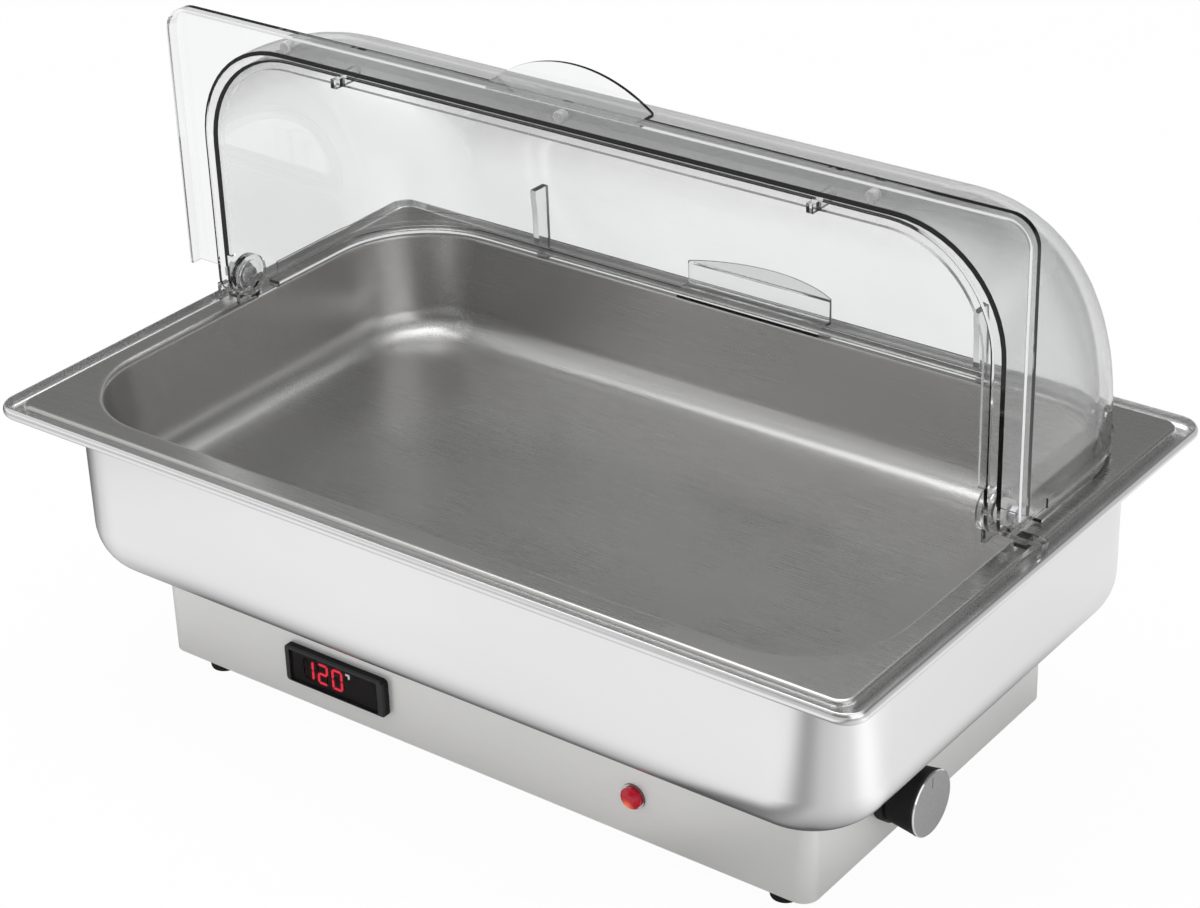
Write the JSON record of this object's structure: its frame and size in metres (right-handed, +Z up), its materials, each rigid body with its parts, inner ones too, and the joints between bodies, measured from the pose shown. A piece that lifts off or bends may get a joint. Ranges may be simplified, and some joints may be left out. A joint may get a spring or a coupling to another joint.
{
  "type": "electric chafing dish",
  "caption": "Electric food warmer: water bath on a heated base holds a full-size food pan under two clear roll-back quarter hoods; side dial, front temperature display.",
  "frame": {"origin": "on the table, below the centre of the water tub", "axes": "+X to the user's right along the long rim, +Y to the back, +Z up; the front with the display faces -Y"},
  "size_m": [0.55, 0.3475, 0.3705],
  "materials": {
    "brushed_steel": "brushed sheet",
    "pan_steel": "satin drawn sheet",
    "fastener_steel": "plain machined steel",
    "black_rubber": "moulded",
    "clear_plastic": "clear polished",
    "clear_bumper": "clear soft",
    "bracket_plastic": "clear moulded",
    "bezel_plastic": "semi-gloss",
    "dark_window": "polished",
    "display_face": "matt black",
    "display_light": "lit red",
    "circuit_board": "lacquered",
    "lamp_red": "faceted clear red",
    "chrome_ring": "polished",
    "black_plastic": "moulded",
    "knob_black": "moulded semi-gloss",
    "knob_aluminium": "turned face",
    "white_plastic": "moulded",
    "heater_aluminium": "mill finish",
    "heater_sheath": "heat-darkened",
    "insulation_felt": "ceramic fibre",
    "copper": "drawn copper",
    "brass": "stamped",
    "lead_sleeve": "glass-fibre sleeve",
    "ceramic_white": "unglazed"
  },
  "bodies": {
    "heater": {"water_tub": "brushed_steel", "base_housing": "brushed_steel", "bottom_plate": "brushed_steel", "tub_studs": "fastener_steel", "tub_nuts": "fastener_steel", "plate_screws": "fastener_steel", "rubber_feet": "black_rubber", "foot_screws": "fastener_steel", "foot_nuts": "fastener_steel", "heat_spreader": "heater_aluminium", "heating_element": "heater_sheath", "element_pins": "fastener_steel", "element_clamps": "fastener_steel", "clamp_nuts": "fastener_steel", "insulation_pad": "insulation_felt", "heat_shield": "fastener_steel", "heater_studs": "fastener_steel", "shield_nuts": "fastener_steel", "thermal_cutout": "ceramic_white", "cutout_screws": "fastener_steel", "thermostat_body": "black_plastic", "knob_collar": "black_plastic", "thermostat_screws": "fastener_steel", "sensor_bulb": "copper", "display_bezel": "bezel_plastic", "display_window": "dark_window", "display_module": "display_face", "display_digits": "display_light", "display_mark": "display_light", "display_board": "circuit_board", "lamp_ring": "chrome_ring", "lamp_lens": "lamp_red", "lamp_body": "black_plastic", "lamp_nut": "black_plastic", "inlet_socket": "black_plastic", "inlet_pins": "brass", "inlet_screws": "fastener_steel", "inlet_nuts": "fastener_steel", "terminal_block": "white_plastic", "terminal_screws": "fastener_steel", "earth_stud": "fastener_steel", "earth_nut": "fastener_steel", "capillary_tube": "copper", "supply_leads": "lead_sleeve", "element_leads": "lead_sleeve"},
    "knob": {"knob_skirt": "knob_black", "knob_cap": "knob_aluminium", "thermostat_shaft": "fastener_steel"},
    "food_pan": {"food_pan": "pan_steel"},
    "cover_base": {"hinge_bracket_left": "bracket_plastic", "hinge_bracket_right": "bracket_plastic", "hinge_screws": "fastener_steel", "hinge_washers": "white_plastic", "hinge_nuts": "fastener_steel"},
    "rear_hood": {"rear_hood": "clear_plastic", "rear_handle": "clear_plastic"},
    "front_hood": {"front_hood": "clear_plastic", "hood_bumpers": "clear_bumper"}
  },
  "joints": [
    {"name": "knob_turn", "type": "hinge", "parent": "heater", "child": "knob", "pos_m": [0.2155, -0.042, 0.0405], "axis": [-1, 0, 0], "range_deg": [0, 270]},
    {"name": "pan_lift", "type": "slide", "parent": "heater", "child": "food_pan", "axis": [0, 0, 1], "range_m": [0, 0.15]},
    {"name": "cover_lift", "type": "slide", "parent": "food_pan", "child": "cover_base", "axis": [0, 0, 1], "range_m": [0, 0.25]},
    {"name": "rear_hood_hinge", "type": "hinge", "parent": "cover_base", "child": "rear_hood", "pos_m": [0, 0, 0.192], "axis": [-1, 0, 0], "range_deg": [-90, 0]},
    {"name": "front_hood_hinge", "type": "hinge", "parent": "rear_hood", "child": "front_hood", "pos_m": [0, 0, 0.192], "axis": [1, 0, 0], "range_deg": [0, 90]}
  ]
}
